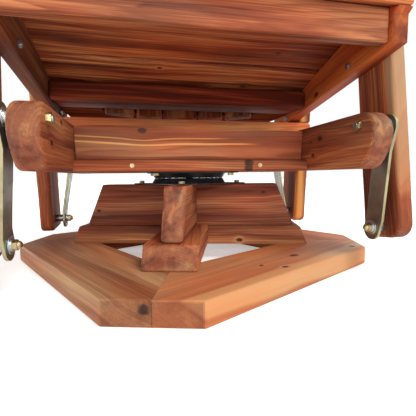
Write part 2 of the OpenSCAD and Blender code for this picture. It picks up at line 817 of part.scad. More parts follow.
// Seat
seat_screw_in = 14;
seat_screw_edge = 18;
seat_screws_at = [for (k = [0:3]) for (d = k == 3 ? [front_slat_w / 2] :
    [seat_screw_edge, seat_slat_w - seat_screw_edge]) [k, d]];
// A deck screw with its head's top at the origin, pointing to -Z, grown by c for its hole
module deck_screw(c) {
    translate([0, 0, -deck_head / 3 - c]) cylinder(h = deck_head / 3 + 2 * c, r = deck_head / 2 + c);
    translate([0, 0, -deck_l - c]) cylinder(h = deck_l + c, r = deck_d / 2 + c);
}
module on_seat(k) {
    p = seat_start(k);
    translate([0, p[0], p[1]]) rotate([-seat_tilt[k], 0, 0]) children();
}
module seat_screw_set(k, c) {
    for (q = seat_screws_at) if (q[0] == k) both() on_seat(k)
        translate([slat_x - seat_screw_in, -q[1], slat_t]) deck_screw(c);
}
module seat_slat(k) {
    difference() {
        on_seat(k) translate([-slat_x, -seat_w[k], 0]) cube([2 * slat_x, seat_w[k], slat_t]);
        seat_screw_set(k, fix_clear);
    }
}
module seat_slat_rear_screws(c) {
    both() translate([slat_x - seat_screw_in, brace_y + rear_slat_in + seat_screw_edge,
        brace_top + slat_t]) deck_screw(c);
}
// The rear slat is notched round the foot of the fan
module seat_slat_rear() {
    color(heart) difference() {
        translate([-slat_x, brace_y + rear_slat_in, brace_top])
            cube([2 * slat_x, seat_slat_w, slat_t]);
        reclined() for (i = [-3:3]) fan_board(i, back_gap, -back_gap, far / 4, 0, back_l);
        seat_slat_rear_screws(fix_clear);
    }
}
module seat_slat_4() {
    color(heart) seat_slat(0);
}
module seat_slat_3() {
    color(heart_dark) seat_slat(1);
}
module seat_slat_2() {
    color(heart) seat_slat(2);
}
module seat_slat_1() {
    color(sap) seat_slat(3);
}
// The apron's top edge lies under the narrow front slat
apron_clear = 0.3;
module front_apron() {
    y0 = -string_front + nose_drop;
    top = seat_start(3)[1] - (seat_start(3)[0] - y0) * tan(tilt_d) - apron_clear;
    color(heart) translate([-string_x, y0, top - apron_h]) cube([2 * string_x, slat_t, apron_h]);
}

// Back, drawn in the reclined frame whose origin is the brace's lower rear edge
module reclined() {
    translate([0, brace_rear, brace_z]) rotate([-recline, 0, 0]) children();
}
// The board i of the fan (i from -3 to 3), grown by m at its edges, from depth v0 to v1
module fan_board(i, m, v0, v1, w0, w1) {
    n = abs(i);
    su = (top_mid(n) - foot_mid(n)) / cos(yaw(n));
    a = foot_width(n) / 2 - back_gap / 2 + m;
    b = top_width(n) / 2 - back_gap / 2 + m;
    s0 = w0 / back_l;
    s1 = w1 / back_l;
    flip(i) translate([foot_mid(n), face_v - scoop(foot_mid(n)), 0]) rotate([0, 0, -yaw(n)])
        translate([0, v1, 0]) rotate([90, 0, 0]) linear_extrude(v1 - v0) polygon([
            [su * s0 - (a + (b - a) * s0), w0], [su * s0 + (a + (b - a) * s0), w0],
            [su * s1 + (a + (b - a) * s1), w1], [su * s1 - (a + (b - a) * s1), w1]]);
}
// Deck screws of slat i: two at the arm rail, and two at the lower rail for the inner five
back_screw_low = 32;
back_screw_high = (arm_z - brace_t / 2 - brace_z) / cos(recline) + 14;
back_screw_top = high_brace_w0 + high_brace_h / 2;
module back_screw_set(i, c) {
    n = abs(i);
    su = (top_mid(n) - foot_mid(n)) / cos(yaw(n));
    levels = n < 3 ? [back_screw_low, back_screw_high, back_screw_top] :
        [back_screw_high, back_screw_top];
    reclined() flip(i) translate([foot_mid(n), face_v - scoop(foot_mid(n)), 0])
        rotate([0, 0, -yaw(n)]) for (w = levels) for (s = [-1, 1])
            translate([su * w / back_l + s * foot_d / 4, 0, w]) rotate([90, 0, 0]) deck_screw(c);
}
module back_slat(i) {
    difference() {
        reclined() intersection() {
            fan_board(i, 0, 0, slat_t, back_foot, back_l + arch_r);
            translate([0, far / 2, back_l - arch_r]) rotate([90, 0, 0])
                union() {
                    cylinder(h = far, r = arch_r, $fn = 180);
                    translate([-far / 2, -far / 2, 0]) cube([far, far / 2, far]);
                }
        }
        if (abs(i) == 3) translate([-far / 2, -far / 2, brace_top - far]) cube([far, far, far]);
        back_screw_set(i, fix_clear);
    }
}
module back_slat_1() {
    color(heart_dark) back_slat(-3);
}
module back_slat_2() {
    color(heart) back_slat(-2);
}
module back_slat_3() {
    color(sap) back_slat(-1);
}
module back_slat_4() {
    color(heart) back_slat(0);
}
module back_slat_5() {
    color(heart_dark) back_slat(1);
}
module back_slat_6() {
    color(heart) back_slat(2);
}
module back_slat_7() {
    color(sap) back_slat(3);
}
// The space of the slats and everything in front of them, up to board n
sliver = 4;
module fan_space(n) {
    reclined() for (i = [-n:n])
        fan_board(i, back_gap / 2 + sliver, -far / 4, slat_t, -far / 8, back_l);
}
module lower_back_rail() {
    color(heart) difference() {
        translate([-string_x, brace_rear, brace_z]) cube([2 * string_x, low_rail_w, brace_t]);
        fan_space(2);
    }
}
module arm_rail() {
    x = arm_out - arm_taper - arm_gap;
    color(heart) difference() {
        translate([-x, arm_rail_rear - arm_rail_w, arm_rail_z]) cube([2 * x, arm_rail_w, brace_t]);
        fan_space(3);
    }
}
module upper_brace() {
    half = top_edge[3] - high_brace_in;
    color(heart) difference() {
        reclined() intersection() {
            translate([0, face_v - scoop_r, high_brace_w0])
                cylinder(h = high_brace_h, r = scoop_r + slat_t + high_brace_t, $fn = 180);
            translate([-half, face_v - scoop(half), high_brace_w0]) cube([2 * half, far, high_brace_h]);
        }
        fan_space(3);
    }
}

// Arms
module arm() {
    x0 = arm_in;
    x1 = arm_out;
    y0 = -arm_front;
    y1 = arm_rear;
    difference() {
        translate([0, 0, arm_z]) linear_extrude(arm_t) polygon(concat(
            arc([x0 + arm_r, y0 + arm_r], arm_r, 180, 270, 8),
            arc([x1 - arm_r, y0 + arm_r], arm_r, 270, 360, 8),
            [[x1, foot_y_r]],
            arc([x1 - arm_taper - arm_rear_r, y1 - arm_rear_r], arm_rear_r, 0, 90, 5),
            arc([x0 + arm_rear_r, y1 - arm_rear_r], arm_rear_r, 90, 180, 5)));
        arm_screws(fix_clear);
    }
}
module arm_screws(c) {
    d = arm_screw_off;
    for (y = [front_leg_y(arm_z) - d, front_leg_y(arm_z) + d, rear_leg_y(arm_z) - d,
        rear_leg_y(arm_z) + d, arm_rail_rear - low_rail_w / 4])
        translate([leg_x + leg_t / 2, y, arm_z + arm_t]) deck_screw(c);
}
module arm_right() {
    color(heart) arm();
}
module arm_left() {
    color(heart) flip(-1) arm();
}
corbel_lip = 14;
module arm_corbels() {
    h = corbel_h;
    w = corbel_out;
    color(heart) both() difference() {
        translate([0, foot_y_f, foot_z_f]) rotate([-front_leg_lean, 0, 0])
            translate([leg_out, 0, (arm_z - foot_z_f) / cos(front_leg_lean) - h])
                xz(front_leg_off - leg_t / 2, front_leg_off + leg_t / 2) polygon(concat(
                    [[0, 0], [corbel_lip, 0]],
                    [for (k = [0:8]) [corbel_lip + (w - corbel_lip) * (1 - cos(90 * k / 8)),
                        (h - corbel_lip) * sin(90 * k / 8)]],
                    [[w, h + leg_t], [0, h + leg_t]]));
        above(arm_z);
    }
}

module deck_screws() {
    color(zinc) {
        for (k = [0:3]) seat_screw_set(k, 0);
        seat_slat_rear_screws(0);
        for (i = [-3:3]) back_screw_set(i, 0);
        both() arm_screws(0);
    }
}

ring_front_right();
ring_rear_right();
ring_rear_left();
ring_front_left();
cross_front_rear();
cross_side();
pedestal_front_rear();
pedestal_side();
swivel_lower_plate();
swivel_balls();
swivel_rivet();
swivel_lower_lags();
swivel_upper_plate();
swivel_upper_lags();
side_beam_right();
side_beam_left();
front_flat_board();
rear_flat_board();
front_rail();
rear_rail();
frame_screws();
link_bolts_top();
link_spacers_top();
link_nuts_top();
link_front_right();
link_front_left();
link_rear_right();
link_rear_left();
link_bolts_foot();
link_spacers_foot();
link_nuts_foot();
front_leg_right();
front_leg_left();
rear_leg_right();
rear_leg_left();
leg_bolts();
stringer_right();
stringer_left();
seat_brace();
rear_stretcher();
seat_slat_1();
seat_slat_2();
seat_slat_3();
seat_slat_4();
seat_slat_rear();
front_apron();
back_slat_1();
back_slat_2();
back_slat_3();
back_slat_4();
back_slat_5();
back_slat_6();
back_slat_7();
lower_back_rail();
arm_rail();
upper_brace();
arm_right();
arm_left();
arm_corbels();
deck_screws();
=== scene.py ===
# %% [markdown]
# # Adirondack swivel glider in stained red cedar
# The chair hangs on four steel straps from a swing frame, and the frame turns on a ball-bearing
# swivel over a boarded base. The CAD model gives every piece its place. Here the pieces get worn
# edges, cedar grain with sapwood and knots, zinc and black enamel.

# %% Frame
import json
import math
import random
import bmesh
import bpy
from mathutils import Matrix, Vector


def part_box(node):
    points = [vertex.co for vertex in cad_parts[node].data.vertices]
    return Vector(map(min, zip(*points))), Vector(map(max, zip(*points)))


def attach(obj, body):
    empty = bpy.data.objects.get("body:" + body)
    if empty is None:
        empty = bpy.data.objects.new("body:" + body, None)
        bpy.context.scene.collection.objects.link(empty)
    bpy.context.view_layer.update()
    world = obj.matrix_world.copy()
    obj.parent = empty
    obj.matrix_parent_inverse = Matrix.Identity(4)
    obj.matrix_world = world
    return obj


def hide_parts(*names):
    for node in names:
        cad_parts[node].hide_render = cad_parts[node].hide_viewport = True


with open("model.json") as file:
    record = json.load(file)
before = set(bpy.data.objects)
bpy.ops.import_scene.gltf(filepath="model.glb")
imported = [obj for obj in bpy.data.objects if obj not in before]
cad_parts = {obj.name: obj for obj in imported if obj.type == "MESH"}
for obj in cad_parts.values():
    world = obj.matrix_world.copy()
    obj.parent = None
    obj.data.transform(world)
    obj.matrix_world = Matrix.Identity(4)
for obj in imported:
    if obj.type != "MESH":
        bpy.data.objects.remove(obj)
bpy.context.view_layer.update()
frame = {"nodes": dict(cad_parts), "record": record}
nodes = frame["nodes"]
bodies = frame["record"]["behaviour"]["bodies"]
body_of = {n: b for b, names in bodies.items() for n in names}
slot_of = {s["node"]: s["material_slot"] for s in frame["record"]["subparts"]}

# %% [markdown]
# The photograph was taken from low in front of the chair, a little to its left, with a wide lens.
# The camera's place, its turn and its lens come from fitting the corners of the boards.

# %% Camera
photo_px = 416
focal_px = 324.9
sensor_mm = 36
eye = Vector((-0.1134, -0.7288, 0.1812))
eye_yaw, eye_pitch, eye_roll = -0.212, 0.100, -0.011

def turned(yaw, pitch, roll):
    """Axes of a camera that looks along +Y, turned by yaw, tipped down by pitch and rolled."""
    fwd = Vector((-math.sin(yaw) * math.cos(pitch), math.cos(yaw) * math.cos(pitch),
                  -math.sin(pitch)))
    right = Vector((math.cos(yaw), math.sin(yaw), 0))
    up = right.cross(fwd)
    r = right * math.cos(roll) + up * math.sin(roll)
    u = -right * math.sin(roll) + up * math.cos(roll)
    return Matrix((r, u, -fwd)).transposed()

cam = bpy.data.objects.new("camera", bpy.data.cameras.new("camera"))
cam.data.sensor_width = sensor_mm
cam.data.lens = sensor_mm * focal_px / photo_px
cam.data.clip_start = 0.02
cam.matrix_world = Matrix.Translation(eye) @ turned(eye_yaw, eye_pitch, eye_roll).to_4x4()
bpy.context.collection.objects.link(cam)
bpy.context.scene.camera = cam
print("lens of", round(cam.data.lens, 1), "mm,", round(eye.z * 1000), "mm above the floor")

# %% [markdown]
# The photograph is lit softly from the front and above, so the undersides fall off to dark brown
# while the ring's top is bright. A wide soft sun does most of it, and a weak lamp from the front
# left fills its shadows. A low strip puts the thin glints on the noses, and two lamps at the sides
# lift the ends.

# %% Lamps
def lamp(name, place, target, size, power, tint):
    data = bpy.data.lights.new(name, "AREA")
    data.shape = "DISK"
    data.size = size
    data.energy = power
    data.color = tint
    o = bpy.data.objects.new(name, data)
    o.location = place
    o.rotation_euler = (Vector(target) - Vector(place)).to_track_quat("-Z", "Y").to_euler()
    o.visible_camera = False
    bpy.context.collection.objects.link(o)
    return o

warm, cool, side_warm = (1.0, 0.98, 0.95), (0.97, 0.98, 1.0), (1.0, 0.97, 0.93)
sun_heading = Vector((-0.42, 0.72, -0.95))
sun = bpy.data.objects.new("soft sun", bpy.data.lights.new("soft sun", "SUN"))
sun.data.energy = 2.0
sun.data.angle = math.radians(28)
sun.data.color = warm
sun.rotation_euler = sun_heading.to_track_quat("-Z", "Y").to_euler()
bpy.context.collection.objects.link(sun)
lamp("fill", (-2.2, -2.4, 0.9), (0, 0, 0.3), size=2.4, power=14, tint=cool)
low = lamp("low front strip", (0.1, -2.6, 0.84), (0, 0, 0.30), size=2.4, power=20, tint=warm)
low.data.shape = "RECTANGLE"
low.data.size_y = 0.2
for side, x in (("right", 2.3), ("left", -2.3)):
    lamp("side " + side, (x, 1.5, 0.6), (0, 0, 0.25), size=1.8, power=28, tint=side_warm)

# %% [markdown]
# The background is seen as white but lights less than that, or it would wash out the dark wood
# under the seat. A light path node tells the camera's own rays from all others.

# %% Background
light_given, light_seen = 0.48, 1.0
world = bpy.data.worlds.new("studio")
world.use_nodes = True
sky = world.node_tree
plain = sky.nodes["Background"]
plain.inputs["Color"].default_value = (1, 1, 1, 1)
seen = sky.nodes.new("ShaderNodeLightPath")
level = sky.nodes.new("ShaderNodeMapRange")
sky.links.new(seen.outputs["Is Camera Ray"], level.inputs["Value"])
level.inputs["To Min"].default_value = light_given
level.inputs["To Max"].default_value = light_seen
sky.links.new(level.outputs[0], plain.inputs["Strength"])
bpy.context.scene.world = world
bpy.context.scene.view_settings.view_transform = "Standard"
print("the background lights with", light_given, "and is seen as", light_seen)

# %% [markdown]
# A small helper keeps the materials readable: it adds a node, fills its inputs with numbers or
# links, and hands back its output. The short names at the end stand for the sums that the grain
# needs again and again.

# %% Node helper
class Graph:
    def __init__(self, name):
        self.mat = bpy.data.materials.new(name)
        self.mat.use_nodes = True
        self.tree = self.mat.node_tree
        self.tree.nodes.clear()

    def fill(self, node, values):
        for k, v in values.items():
            if isinstance(v, bpy.types.NodeSocket):
                self.tree.links.new(v, node.inputs[k])
            else:
                node.inputs[k].default_value = v

    def add(self, kind, out=0, ins=(), **props):
        n = self.tree.nodes.new("ShaderNode" + kind)
        for k, v in props.items():
            setattr(n, k, v)
        self.fill(n, dict(ins))
        return n.outputs[out]

    def finish(self, colour, rough, normal, **fixed):
        s = self.tree.nodes.new("ShaderNodeBsdfPrincipled")
        self.fill(s, {k.replace("_", " "): v for k, v in fixed.items()})
        self.fill(s, {"Base Color": colour, "Roughness": rough})
        if normal is not None:
            self.fill(s, {"Normal": normal})
        o = self.tree.nodes.new("ShaderNodeOutputMaterial")
        self.tree.links.new(s.outputs[0], o.inputs[0])
        return self.mat

    def ramp(self, v, stops):
        n = self.tree.nodes.new("ShaderNodeValToRGB")
        while len(n.color_ramp.elements) < len(stops):
            n.color_ramp.elements.new(0.5)
        for e, (place, colour) in zip(n.color_ramp.elements, stops):
            e.position = place
            e.color = colour
        self.tree.links.new(v, n.inputs[0])
        return n.outputs[0]

    def noise(self, where, scale, detail=2.0, rough=0.5):
        return self.add("TexNoise", 0, {"Vector": where, "Scale": scale, "Detail": detail,
                                        "Roughness": rough})

    def move(self, where, scale=(1, 1, 1), place=(0, 0, 0)):
        return self.add("Mapping", 0, {"Vector": where, "Scale": scale, "Location": place})

    def mix(self, f, a, b, kind="MIX"):
        return self.add("Mix", 2, {0: f, 6: a, 7: b}, data_type="RGBA", blend_type=kind)

    def fade(self, v, lo, hi, to0=0.0, to1=1.0):
        return self.add("MapRange", 0, {0: v, 1: lo, 2: hi, 3: to0, 4: to1},
                        interpolation_type="SMOOTHSTEP")

    def bump(self, height, distance, strength):
        return self.add("Bump", 0, {"Height": height, "Distance": distance, "Strength": strength})

    def length(self, vector):
        return self.add("VectorMath", 1, {0: vector}, operation="LENGTH")

    def math(self, op, a, b=0.0, clamp=False):
        return self.add("Math", 0, {0: a, 1: b}, operation=op, use_clamp=clamp)

    def plus(self, a, b):
        return self.math("ADD", a, b)

    def minus(self, a, b):
        return self.math("SUBTRACT", a, b)

    def times(self, a, b):
        return self.math("MULTIPLY", a, b)

    def swing(self, noise):
        return self.minus(noise, 0.5)

    def either(self, mask, other):
        return other if mask is None else self.math("MAXIMUM", mask, other)

print("node helper:", [name for name in vars(Graph) if not name.startswith("_")])

# %% [markdown]
# The pale floor glows a little more far away, where the photograph's own floor runs out to white.
# It is a single square, and no piece of the chair.

# %% Floor
floor_half = 12
glow_starts, glow_full = 0.4, 1.5
glow_near, glow_far, glow_seen = 0.14, 0.42, 0.22

def new_object(name, bm, mat):
    mesh = bpy.data.meshes.new(name)
    bm.to_mesh(mesh)
    bm.free()
    mesh.materials.append(mat)
    o = bpy.data.objects.new(name, mesh)
    bpy.context.collection.objects.link(o)
    return o

g = Graph("pale floor")
here = g.add("TexCoord", 3)
blotch = g.noise(here, 3.0, 3)
glow = g.fade(g.length(here), glow_starts, glow_full, glow_near, glow_far)
glow = g.plus(glow, g.times(g.add("LightPath", "Is Camera Ray"), glow_seen))
off_white = g.mix(g.fade(blotch, 0.3, 0.7), (0.95, 0.95, 0.945, 1), (0.98, 0.98, 0.98, 1))
floor_mat = g.finish(off_white, 0.7, None, Emission_Strength=glow, Emission_Color=(1, 1, 1, 1))
bm = bmesh.new()
bmesh.ops.create_grid(bm, x_segments=1, y_segments=1, size=floor_half)
floor = new_object("floor", bm, floor_mat)
print("floor of", 2 * floor_half, "m")

# %% [markdown]
# Red cedar is a strong red-brown with purple-brown bands. Four steps from dark to straw are kept
# here, and each board mixes them by its own grain. Sapwood differs from tree to tree, so it has
# three ramps of its own: honey on the ring, golden on the rear leg and pale tan on the front leg.
# The end grain soaks up more stain, which makes it a duller brown than the faces.

# %% Cedar colours
purple = (0.105, 0.026, 0.013, 1)
red = (0.250, 0.066, 0.026, 1)
tan = (0.455, 0.160, 0.064, 1)
straw = (0.640, 0.330, 0.110, 1)
heartwood = ((0.40, purple), (0.50, red), (0.60, tan), (0.74, straw))

end_dark = (0.085, 0.032, 0.022, 1)
end_brown = (0.205, 0.095, 0.058, 1)
end_warm = (0.285, 0.127, 0.060, 1)
end_pale = (0.400, 0.225, 0.105, 1)
end_gold = (0.560, 0.250, 0.085, 1)
end_wood = ((0.40, end_dark), (0.49, end_brown), (0.57, end_warm), (0.68, end_pale))

pitch_black = (0.022, 0.010, 0.008, 1)
knot_red = (0.070, 0.026, 0.016, 1)
sap_foot = (0.400, 0.165, 0.072, 1)

def sap_ramp(dark, middle, pale):
    return (0.36, dark), (0.50, middle), (0.66, pale)

honey = sap_ramp((0.41, 0.17, 0.070, 1), (0.50, 0.23, 0.090, 1), (0.57, 0.29, 0.125, 1))
golden = sap_ramp((0.52, 0.19, 0.050, 1), (0.68, 0.30, 0.080, 1), (0.76, 0.42, 0.140, 1))
pale_tan = sap_ramp((0.30, 0.14, 0.068, 1), (0.34, 0.215, 0.120, 1), (0.40, 0.290, 0.175, 1))
print("steps of heartwood, end wood and sapwood:", len(heartwood), len(end_wood), len(honey))

# %% [markdown]
# The grain is drawn in the board's own directions: x runs along it, y across it and z through it.
# Around a knot the fibres part like water round a stone, and that is what bends the lines here.
# What a board shows in one place only is a mask: 1 on the mark, 0 off it, and soft in between.

# %% Knots, veins and streaks
knot_squeeze = 0.62
knot_ragged = 0.9
knot_push = 1.9
vein_out, vein_in = 0.04, 0.02

def knotted(g, x, y, knots, rough_edge):
    """y bent round the knots, and a mask of the knots themselves."""
    mask = None
    for kx, ky, kr in knots:
        dx = g.times(g.minus(x, kx), knot_squeeze)
        dy = g.minus(y, ky)
        d = g.length(g.add("CombineXYZ", 0, {0: dx, 1: dy}))
        d = g.plus(d, g.times(rough_edge, knot_ragged * kr))
        near = g.math("DIVIDE", knot_push * kr * kr, g.times(d, d), clamp=True)
        y = g.minus(y, g.times(dy, near))
        mask = g.either(mask, g.fade(d, 1.05 * kr, 0.55 * kr))
    return y, mask

def spot_mask(g, here, spots, rough_edge):
    """Knots that show on one face only, as balls: (x, y, z, radius)."""
    mask = None
    for *middle, radius in spots:
        d = g.add("VectorMath", 1, {0: here, 1: middle}, operation="DISTANCE")
        d = g.plus(d, g.times(rough_edge, knot_ragged * radius))
        mask = g.either(mask, g.fade(d, 1.1 * radius, 0.55 * radius))
    return mask

def vein_mask(g, x, y, veins):
    """Pale lines along the grain: (y, half width, strength, x from, x to)."""
    mask = None
    for vy, half, strength, x0, x1 in veins:
        off = g.math("ABSOLUTE", g.minus(y, vy))
        m = g.times(g.fade(off, half * 1.5, half * 0.3), strength)
        m = g.times(m, g.fade(x, x0 - vein_out, x0 + vein_in))
        m = g.times(m, g.fade(x, x1 + vein_out, x1 - vein_in))
        mask = g.either(mask, m)
    return mask

def swirl_mask(g, y, z, swirl):
    """A pale streak on a cut end that bends from z0 at height y0 to z1 at y1."""
    z0, z1, y0, y1, half = swirl
    off = g.math("ABSOLUTE", g.minus(z, g.fade(y, y0, y1, z0, z1)))
    return g.times(g.fade(off, half * 1.6, half * 0.3), g.fade(y, y0 - 0.012, y0 - 0.002))

print("a vein fades out over", round((vein_out + vein_in) * 1000), "mm at each end")

# %% [markdown]
# The distance from the pith, a line that usually lies outside the board, numbers the yearly rings,
# so faces, edges and ends show one piece of wood. Bands, rings and fibres are three noises
# stretched along the grain, from hand wide to hair thin. The larger a number in their scales, the
# finer the pattern in that direction.

# %% Grain lines
drift_scale = (2.2, 7, 7)
hand_scale = (1.6, 42, 12)
band_scale = (3.2, 150, 30)
hair_scale = (7, 560, 560)
drift_reach = 0.034
ring_wobble = 0.004
turn_reach = 0.04

def wandered(g, here, y, shift, lean):
    """y with a slow drift along the board, as in a trunk that isn't quite straight."""
    drift = g.noise(g.move(here, drift_scale, shift), 1.0)
    return g.plus(y, g.times(g.swing(drift), drift_reach * lean))

def from_pith(g, x, y, z, pith, slope):
    """The distance from the pith, which comes nearer along the board by the slope."""
    across = g.add("CombineXYZ", 0, {0: g.minus(y, pith[0]), 1: g.minus(z, pith[1])})
    return g.plus(g.length(across), g.times(x, slope))

def grain_lines(g, here, x, y, r, pith, shift, spacing):
    """Hand wide bands, narrow bands, hair thin fibres and the dark line of each year's end."""
    turn = g.math("ARCTAN2", g.minus(y, pith[0]), pith[1] * -1.0 + 1e-4)
    flow = g.add("CombineXYZ", 0, {0: x, 1: r, 2: g.times(turn, turn_reach)})
    wide = g.noise(g.move(flow, hand_scale, shift), 1.0)
    bands = g.noise(g.move(flow, band_scale, shift), 1.0, 3, 0.6)
    hairs = g.noise(g.move(here, hair_scale, shift), 1.0, 2, 0.6)
    wobbly = g.plus(r, g.times(g.swing(bands), ring_wobble))
    ring = g.math("FRACT", g.math("DIVIDE", wobbly, spacing))
    late = g.times(g.math("POWER", ring, 3.0), g.fade(ring, 1.0, 0.9))
    late = g.times(late, g.fade(bands, 0.38, 0.6, 0.15, 0.9))
    return wide, bands, hairs, late

print("the thinnest fibres are", round(1000 / hair_scale[1], 1), "mm wide")

# %% [markdown]
# A cut end shows its rings as blotches and fine lines, and may hold a golden streak. The stain was
# brushed on by hand, so each board also drifts between a redder and a browner tone.

# %% Ends and stain
redder, browner = (1.07, 0.92, 0.84), (0.94, 1.06, 1.12)
blotch_scale = (34, 34, 34)
stain_scale = (5, 16, 16)

def end_grain(g, here, y, z, late, hairs, shift, swirl, end_tint):
    patch = g.noise(g.move(here, blotch_scale, shift), 1.0, 4, 0.62)
    lines = g.plus(g.times(late, 0.45), g.times(g.fade(hairs, 0.6, 0.35), 0.35))
    colour = g.mix(lines, g.ramp(patch, end_wood), red)
    if end_tint:
        colour = g.mix(1.0, colour, (*end_tint, 1), "MULTIPLY")
    if swirl:
        bent = g.plus(z, g.times(g.swing(patch), 0.045))
        colour = g.mix(g.times(swirl_mask(g, y, bent, swirl), 0.6), colour, end_gold)
    return colour

def stained(g, here, body, tint, shift):
    """The colour multiplied by the board's own tint, which drifts between the two tones. On the
    shaded boards the tint also holds painted shade, and on the rear stretcher painted light.
    """
    where = g.fade(g.noise(g.move(here, stain_scale, shift), 1.0), 0.36, 0.64)
    two = [tuple(c * w for c, w in zip(tint, tone)) + (1,) for tone in (redder, browner)]
    return g.mix(1.0, body, g.mix(where, *two), "MULTIPLY")

print("tones of the stain:", redder, browner)

# %% [markdown]
# One function makes a board's cedar from all of this. The seed gives the board its own rings, and
# what a board shows in the photograph is asked for by name. A picture of wood would repeat and blur
# close by, and it would wrap badly round the ends. Noise in the board's own space does neither.

# %% Cedar of one board
knot_heart_scale = (60, 160, 60)
sap_blur, sap_wobble = 0.0025, 0.012

def cedar(name, seed=0, pith=None, sap=None, sapwood=golden, knots=(), spots=(), veins=(),
          swirl=None, bias=0.0, tint=(1, 1, 1), ends=0.75, lean=1.0, taper=None, gloss=0.22,
          calm=1.0, end_tint=None):
    """pith is (y, z) in metres, and sap is the distance from it where sapwood starts. Knots are
    (x, y, radius). bias shifts the board to dark or pale, tint is its own colour, ends is how far
    the cut ends differ, lean is how far the grain wanders, taper tilts the rings along the board,
    gloss is the strength of its sheen, and calm evens the grain out below 1 and bares it above.
    On boards in the shade, bias and tint also darken the wood as painted shade, and on the rear
    stretcher they lighten it as painted light."""
    g = Graph(name)
    rnd = random.Random(seed)
    shift = tuple(rnd.uniform(-9, 9) for _ in range(3))
    pith = pith or (rnd.uniform(-0.03, 0.03), rnd.choice((-1, 1)) * rnd.uniform(0.03, 0.06))
    slope = rnd.choice((-1, 1)) * rnd.uniform(0.006, 0.022) * lean
    spacing = rnd.uniform(0.0034, 0.0046)
    if taper is not None:
        slope = taper

    here = g.add("Attribute", 1, attribute_name="grain")
    x, y, z = (g.add("SeparateXYZ", i, {0: here}) for i in range(3))
    speck = g.swing(g.noise(here, 120, 3))
    y, knot = knotted(g, x, y, knots, speck)
    if spots:
        knot = spot_mask(g, here, spots, speck)
    y = wandered(g, here, y, shift, lean)
    r = from_pith(g, x, y, z, pith, slope)
    wide, bands, hairs, late = grain_lines(g, here, x, y, r, pith, shift, spacing)

    v = g.plus(g.times(wide, 0.50), g.times(bands, 0.42))
    v = g.plus(v, g.times(hairs, 0.19))
    v = g.minus(g.minus(v, g.times(late, 0.12)), 0.02)
    v = g.plus(g.times(v, calm), 0.5 * (1 - calm) + bias)
    body = g.ramp(v, heartwood)
    pale = g.ramp(v, sapwood)
    if taper is not None:
        pale = g.mix(g.fade(x, -0.25, 0.03, 0.1, 1.0), sap_foot, pale)
    mask = vein_mask(g, x, y, veins)
    if sap is not None:
        edge = g.plus(r, g.times(g.swing(wide), sap_wobble))
        mask = g.either(mask, g.fade(edge, sap - sap_blur, sap + sap_blur))
    if mask is not None:
        body = g.mix(mask, body, pale)

    cut = g.times(g.add("Attribute", 2, attribute_name="end"), ends)
    body = g.mix(cut, body, end_grain(g, here, y, z, late, hairs, shift, swirl, end_tint))
    if knot is not None:
        heart = g.fade(g.noise(g.move(here, knot_heart_scale, shift), 1.0), 0.35, 0.65)
        body = g.mix(g.times(knot, 0.92), body, g.mix(heart, pitch_black, knot_red))
    body = stained(g, here, body, tint, shift)
    rough = g.fade(hairs, 0.3, 0.7, 0.66, 0.52)
    height = g.minus(g.times(hairs, 0.55), g.times(late, 0.6))
    return g.finish(body, rough, g.bump(height, 0.0004, 0.55), IOR=1.45, Specular_IOR_Level=gloss)

print("sapwood blends into heartwood over", round(2000 * sap_blur), "mm")

# %% [markdown]
# Each board is a copy of its CAD solid with its edges eased by a router and a touch of sandpaper.
# A Bevel modifier would round every sharp edge alike. With bmesh each edge is chosen by its angle,
# its length and its place, so joints stay tight and bolt holes crisp. The bevel's own faces are
# shaded smooth and the flats stay flat, so light rolls over the edge.

# %% Easing the edges
crisp, sanded, walked_on, softened = 0.0014, 0.003, 0.0035, 0.004
routed, handled, nosed = 0.005, 0.006, 0.008

def copied(name, chosen=None):
    """The CAD piece, or its chosen faces, as a mesh of flat faces instead of triangles."""
    bm = bmesh.new()
    bm.from_mesh(nodes[name].data)
    if chosen:
        bmesh.ops.delete(bm, geom=[f for f in bm.faces if not chosen(f)], context="FACES")
    bmesh.ops.remove_doubles(bm, verts=bm.verts, dist=2e-5)
    bmesh.ops.dissolve_limit(bm, angle_limit=math.radians(1), verts=bm.verts, edges=bm.edges)
    for f in bm.faces:
        f.smooth = False
    return bm

def rounded(bm, edges, width, segments):
    made = bmesh.ops.bevel(bm, geom=edges, offset=width, offset_type="OFFSET", segments=segments,
                           profile=0.5, affect="EDGES", clamp_overlap=False, material=-1)
    for f in made["faces"]:
        f.smooth = True

def middle_of(edge):
    return (edge.verts[0].co + edge.verts[1].co) / 2

def eased(bm, width, shortest=0.002, sharp=25, segments=3, keep=None):
    """Rounds the convex edges, apart from short, blunt or kept ones, and counts them."""
    edges = [e for e in bm.edges if len(e.link_faces) == 2 and e.calc_length() > shortest
             and e.calc_face_angle_signed(0) > math.radians(sharp)
             and not (keep and keep(middle_of(e)))]
    rounded(bm, edges, width, segments)
    return len(edges)

print("a board's edges are eased by", crisp * 1000, "to", nosed * 1000, "mm")

# %% [markdown]
# Some edges are chosen by their place. The side beams' outer rims are rounded more than the rest,
# the ring's mitres get a groove as fine as a sawn joint, and the base's boards stay sharp in the
# middle, where they are let into each other.

# %% Edges with a place
mitre_groove = 0.0006
mitre_half, crossing_half = 0.0015, 0.07
base_turn = math.radians(-16.2)

def outer_rim(bm):
    """The convex edges round a beam's outer side. The bolt holes' edges are short ones."""
    far = max(abs(v.co.x) for v in bm.verts) - 1e-5
    return [e for e in bm.edges if len(e.link_faces) == 2 and e.calc_length() > 0.004
            and all(abs(v.co.x) > far for v in e.verts)]

def kept_rim(bm, keep):
    """The sharp convex edges that eased would leave alone."""
    return [e for e in bm.edges if len(e.link_faces) == 2 and e.calc_face_angle_signed(0) > 0.4
            and keep(middle_of(e))]

def on_mitre(p):
    """A place on the joints between the ring's boards, which run from the middle to its corners."""
    in_ring = Matrix.Rotation(-base_turn, 3, "Z") @ p
    return min(abs(in_ring.x), abs(in_ring.y)) < mitre_half

def crossing(p):
    return max(abs(p.x), abs(p.y)) < crossing_half

print("the base stands turned by", round(math.degrees(base_turn), 1), "degrees")

